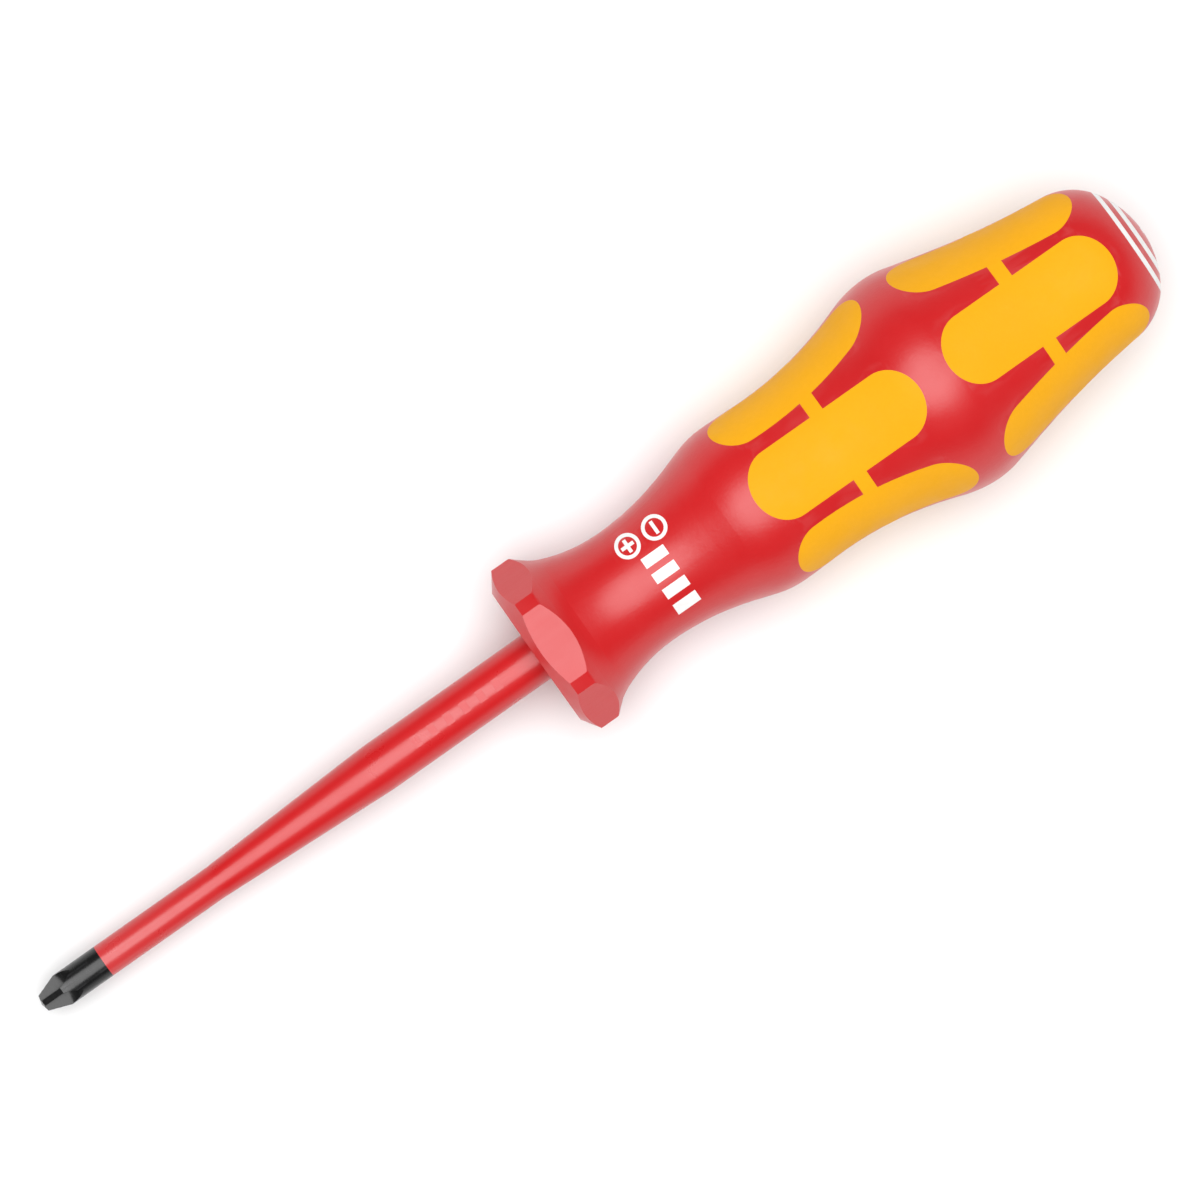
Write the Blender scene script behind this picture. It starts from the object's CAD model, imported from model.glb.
import math

import bpy
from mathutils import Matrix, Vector


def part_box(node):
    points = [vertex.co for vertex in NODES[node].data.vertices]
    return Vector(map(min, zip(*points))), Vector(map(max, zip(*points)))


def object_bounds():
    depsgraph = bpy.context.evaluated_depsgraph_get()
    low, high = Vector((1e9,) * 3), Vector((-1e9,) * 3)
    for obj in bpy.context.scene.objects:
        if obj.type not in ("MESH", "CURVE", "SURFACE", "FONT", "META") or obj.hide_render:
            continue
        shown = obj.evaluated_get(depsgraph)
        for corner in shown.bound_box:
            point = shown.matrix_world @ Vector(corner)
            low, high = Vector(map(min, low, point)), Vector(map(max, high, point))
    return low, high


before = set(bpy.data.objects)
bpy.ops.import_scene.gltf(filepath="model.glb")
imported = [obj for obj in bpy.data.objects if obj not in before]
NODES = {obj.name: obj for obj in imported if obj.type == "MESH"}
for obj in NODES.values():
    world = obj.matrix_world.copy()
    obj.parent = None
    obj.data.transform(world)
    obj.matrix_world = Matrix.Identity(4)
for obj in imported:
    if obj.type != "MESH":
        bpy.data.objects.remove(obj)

# Everything is in metres, in the CAD frame: +X from the tip to the butt, +Z up.

CAD_LOW, CAD_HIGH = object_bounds()
LENGTH = CAD_HIGH.x - CAD_LOW.x
MM = 0.001

# The colour sockets of a Mix node share their names with its other types, so they go by number.
MIX_COLOURS = (6, 7)
MIX_RESULT = 2

# ------------------------------------------------------------------ node materials


class Paint:
    """A material of a Principled shader, with short ways to add the nodes that vary it."""

    def __init__(self, name, **sockets):
        self.material = bpy.data.materials.new(name)
        self.material.use_nodes = True
        self.nodes = self.material.node_tree.nodes
        self.links = self.material.node_tree.links
        self.shader = self.nodes["Principled BSDF"]
        for socket, value in sockets.items():
            self.shader.inputs[socket.replace("_", " ")].default_value = value
        self.place = self.nodes.new("ShaderNodeTexCoord").outputs["Object"]

    def node(self, kind, inputs, **settings):
        """A new node, with sockets linked and other inputs and settings given their values."""
        node = self.nodes.new(kind)
        for key, value in settings.items():
            setattr(node, key, value)
        for key, value in inputs.items():
            if isinstance(value, bpy.types.NodeSocket):
                self.links.new(value, node.inputs[key])
            else:
                node.inputs[key].default_value = value
        return node

    def stretched(self, scale):
        """The object's own coordinates, scaled by axis."""
        return self.node("ShaderNodeMapping", {"Vector": self.place, "Scale": scale}).outputs["Vector"]

    def noise(self, size, detail=2.0, place=None):
        """Noise whose blotches are about size metres across."""
        inputs = {"Vector": place or self.place, "Scale": 1.0 / size, "Detail": detail}
        return self.node("ShaderNodeTexNoise", inputs).outputs["Fac"]

    def spread(self, value, low, high, start=0.3, end=0.7):
        """A value between low and high, driven by another between start and end."""
        inputs = {"Value": value, "From Min": start, "From Max": end, "To Min": low, "To Max": high}
        return self.node("ShaderNodeMapRange", inputs).outputs["Result"]

    def mix(self, factor, first, second):
        """A colour between two others, which are triples or sockets."""
        node = self.node("ShaderNodeMix", {"Factor": factor}, data_type="RGBA")
        sockets = [node.inputs[number] for number in MIX_COLOURS]
        for socket, value in zip(sockets, (first, second)):
            if isinstance(value, bpy.types.NodeSocket):
                self.links.new(value, socket)
            else:
                socket.default_value = (*value, 1.0)
        return node.outputs[MIX_RESULT]

    def edges(self, start, end):
        """1 on convex edges and 0 elsewhere."""
        sharp = self.node("ShaderNodeNewGeometry", {}).outputs["Pointiness"]
        return self.spread(sharp, 0.0, 1.0, start, end)

    def bump(self, height, distance):
        """A normal that stands a height's dark and light parts distance metres apart."""
        inputs = {"Height": height, "Distance": distance, "Strength": 1.0}
        return self.node("ShaderNodeBump", inputs).outputs["Normal"]

    def finish(self, colour, roughness, normal):
        self.links.new(colour, self.shader.inputs["Base Color"])
        self.links.new(roughness, self.shader.inputs["Roughness"])
        self.links.new(normal, self.shader.inputs["Normal"])
        return self.material


def moulded_plastic(name, colour, deeper, roughness, grain_size, grain_depth):
    """Hard satin plastic: a fine moulded grain, faint flow marks and edges rubbed paler."""
    paint = Paint(name, IOR=1.55)
    flow = paint.noise(12 * MM, 3.0, paint.stretched(FLOW_STRETCH))
    base = paint.mix(paint.spread(flow, 0.0, 1.0), colour, deeper)
    rubbed = tuple(0.93 * part + RUBBED_HAZE for part in colour)
    tone = paint.mix(paint.edges(0.53, 0.62), base, rubbed)
    smudges = paint.noise(4 * MM, 4.0)
    polish = paint.spread(smudges, roughness - POLISH_SWING, roughness + POLISH_SWING)
    grain = paint.noise(grain_size, 2.0)
    return paint.finish(tone, polish, paint.bump(grain, grain_depth))


def soft_grip(name, colour, deeper):
    """Soft rubbery plastic: matte, with a fine even grain."""
    paint = Paint(name, IOR=1.45, Specular_IOR_Level=0.2)
    cloud = paint.noise(9 * MM, 3.0)
    base = paint.mix(paint.spread(cloud, 0.0, 1.0), colour, deeper)
    speckle = paint.noise(0.6 * MM, 2.0)
    darker = tuple(0.9 * part for part in colour)
    tone = paint.mix(paint.spread(speckle, 0.0, 0.25), base, darker)
    matte = paint.spread(paint.noise(3 * MM, 3.0), 0.55, 0.68)
    grain = paint.noise(0.35 * MM, 2.0)
    return paint.finish(tone, matte, paint.bump(grain, 0.02 * MM))


def blackened_steel(name):
    """Black oxide on ground steel, worn towards bare metal in patches on convex edges."""
    paint = Paint(name, IOR=1.45)
    lines = paint.noise(1.2 * MM, 3.0, paint.stretched(GRINDING_STRETCH))
    black = paint.mix(paint.spread(lines, 0.0, 1.0), BLACK, FADED_BLACK)
    patchy = paint.spread(paint.noise(1.5 * MM, 4.0), 0.0, 1.0)
    wear = paint.node("ShaderNodeMath", {0: paint.edges(0.56, 0.68), 1: patchy}, operation="MULTIPLY")
    tone = paint.mix(wear.outputs["Value"], black, BARE_STEEL)
    polish = paint.spread(lines, 0.2, 0.28)
    return paint.finish(tone, polish, paint.bump(lines, 0.004 * MM))


def white_ink(name):
    """Printed white, a little thin in places."""
    paint = Paint(name, IOR=1.5)
    thin = paint.noise(0.8 * MM, 4.0)
    tone = paint.mix(paint.spread(thin, 0.0, 1.0), WHITE, THIN_WHITE)
    polish = paint.spread(thin, 0.38, 0.5)
    return paint.finish(tone, polish, paint.bump(thin, 0.006 * MM))


# How the noise's coordinates are scaled along X, Y and Z. Below 1 draws it out, so flow marks
# run along the tool and the blade's grinding lines run round it.
FLOW_STRETCH = (0.45, 1.0, 1.0)
GRINDING_STRETCH = (4.0, 0.6, 0.6)
# How far the hard plastic's roughness swings either way, and how much grey rubbing adds.
POLISH_SWING = 0.035
RUBBED_HAZE = 0.035

RED = (0.52, 0.0035, 0.0055)
DEEP_RED = (0.49, 0.0028, 0.0047)
YELLOW = (0.78, 0.36, 0.0025)
DEEP_YELLOW = (0.76, 0.345, 0.0022)
CORE_RED = (0.30, 0.012, 0.014)
DEEP_CORE_RED = (0.26, 0.010, 0.012)
BLACK = (0.0015, 0.0015, 0.0016)
FADED_BLACK = (0.003, 0.003, 0.0033)
BARE_STEEL = (0.11, 0.11, 0.115)
WHITE = (0.8, 0.8, 0.79)
THIN_WHITE = (0.74, 0.72, 0.71)


def paint_nodes():
    """Give every CAD node the material of its real surface."""
    sleeve_red = moulded_plastic("sleeve_red", RED, DEEP_RED, 0.3, 0.3 * MM, 0.006 * MM)
    handle_red = moulded_plastic("shell_red", RED, DEEP_RED, 0.34, 0.4 * MM, 0.012 * MM)
    core_red = moulded_plastic("core_plastic_red", CORE_RED, DEEP_CORE_RED, 0.5, 0.5 * MM, 0.02 * MM)
    yellow = soft_grip("soft_yellow", YELLOW, DEEP_YELLOW)
    steel = blackened_steel("black_oxide_steel")
    ink = white_ink("white_print")
    materials = {
        "blade": steel,
        "blade_insulation": sleeve_red,
        "handle_shell": handle_red,
        "handle_core": core_red,
        "front_grip_band": yellow,
        "rear_grip_band": yellow,
        "outer_end_ring": ink,
        "inner_end_ring": ink,
        "butt_mark": ink,
        "neck_mark": ink,
    }
    for name, material in materials.items():
        for slot in NODES[name].material_slots:
            slot.material = material


# ------------------------------------------------------------------ stage

FLOOR_HALF = 60 * LENGTH
PAPER = (0.86, 0.86, 0.86)
DULL_PAPER = (0.85, 0.85, 0.85)
# How bright the room is at the floor's level, low on the walls, above them and overhead, then
# the overhead light's width and strength.
FLOOR_GLOW = 1.0
HORIZON_GLOW = 0.75
SKY_GLOW = 0.2
ZENITH_GLOW = 0.45
OVERHEAD_ANGLE = math.radians(60)
OVERHEAD_LIGHT = 1.1


def resting_line():
    """Two points (x, z) of the side view that the tool rests on when it lies on a table.

    They are the ends of the lower hull's edge under the middle of the handle.
    """
    points = set()
    for node in NODES.values():
        points.update((round(v.co.x, 5), round(v.co.z, 5)) for v in node.data.vertices)
    hull = []
    for x, z in sorted(points):
        while len(hull) > 1 and turns_up(hull[-2], hull[-1], (x, z)) <= 0:
            hull.pop()
        hull.append((x, z))
    low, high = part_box("handle_shell")
    middle = (low.x + high.x) / 2
    return next((a, b) for a, b in zip(hull, hull[1:]) if a[0] <= middle <= b[0])


def turns_up(a, b, c):
    """More than 0 where the way from a over b to c turns upwards."""
    return (b[0] - a[0]) * (c[1] - a[1]) - (b[1] - a[1]) * (c[0] - a[0])


def make_floor():
    """A large pale floor under the tool, which lies on its collar and its belly."""
    (x0, z0), (x1, z1) = resting_line()
    slope = (z1 - z0) / (x1 - x0)
    signs = ((-1, -1), (1, -1), (1, 1), (-1, 1))
    corners = [(x0 + i * FLOOR_HALF, j * FLOOR_HALF, z0 + i * FLOOR_HALF * slope) for i, j in signs]
    mesh = bpy.data.meshes.new("floor")
    mesh.from_pydata(corners, [], [(0, 1, 2, 3)])
    floor = bpy.data.objects.new("floor", mesh)
    bpy.context.collection.objects.link(floor)
    paint = Paint("floor_paper", IOR=1.4)
    paper = paint.noise(0.2, 2.0)
    tone = paint.mix(paint.spread(paper, 0.0, 1.0), PAPER, DULL_PAPER)
    rough = paint.spread(paper, 0.75, 0.85)
    tooth = paint.bump(paint.noise(0.8 * MM), 0.01 * MM)
    floor.data.materials.append(paint.finish(tone, rough, tooth))


def grey(level):
    """An opaque grey of one brightness."""
    return (level, level, level, 1.0)


def make_lights():
    """A broad round light straight overhead in a pale room, darkest a little above the floor."""
    data = bpy.data.lights.new("overhead", "SUN")
    data.angle = OVERHEAD_ANGLE
    data.energy = OVERHEAD_LIGHT * math.pi
    light = bpy.data.objects.new("overhead", data)
    bpy.context.collection.objects.link(light)
    world = bpy.data.worlds.new("studio")
    world.use_nodes = True
    nodes = world.node_tree.nodes
    links = world.node_tree.links
    direction = nodes.new("ShaderNodeTexCoord")
    split = nodes.new("ShaderNodeSeparateXYZ")
    ramp = nodes.new("ShaderNodeValToRGB")
    links.new(direction.outputs["Generated"], split.inputs["Vector"])
    links.new(split.outputs["Z"], ramp.inputs["Fac"])
    links.new(ramp.outputs["Color"], nodes["Background"].inputs["Color"])
    stops = ramp.color_ramp.elements
    lowest, highest = stops[0], stops[1]
    lowest.color = grey(FLOOR_GLOW)
    highest.color = grey(ZENITH_GLOW)
    # Each height is the sine of the angle above the floor's level.
    for height, glow in ((0.03, FLOOR_GLOW), (0.12, HORIZON_GLOW), (0.3, SKY_GLOW)):
        stops.new(height).color = grey(glow)
    bpy.context.scene.world = world


# The camera looks straight down. ROLL turns the axis against the picture's width, and the other
# values are shares of the tool's length.
ROLL = math.radians(35.13)
LENS = 400.0
FRAME_WIDTH = 0.892 * LENGTH
SHIFT_RIGHT = 0.0060 * LENGTH
SHIFT_UP = 0.0130 * LENGTH


def make_camera():
    """Straight down on the tool, with its axis rising to the right and its tip low on the left."""
    data = bpy.data.cameras.new("camera")
    data.lens = LENS
    data.clip_start = 0.01
    data.clip_end = 100.0
    camera = bpy.data.objects.new("camera", data)
    bpy.context.collection.objects.link(camera)
    right = Vector((math.cos(ROLL), -math.sin(ROLL), 0))
    up = Vector((math.sin(ROLL), math.cos(ROLL), 0))
    middle = Vector(((CAD_LOW.x + CAD_HIGH.x) / 2, 0, 0))
    centre = middle + right * SHIFT_RIGHT + up * SHIFT_UP
    distance = FRAME_WIDTH * LENS / data.sensor_width
    camera.location = centre + Vector((0, 0, distance))
    camera.rotation_euler = (0, 0, -ROLL)
    bpy.context.scene.camera = camera
    bpy.context.scene.view_settings.view_transform = "Standard"


paint_nodes()
make_floor()
make_lights()
make_camera()
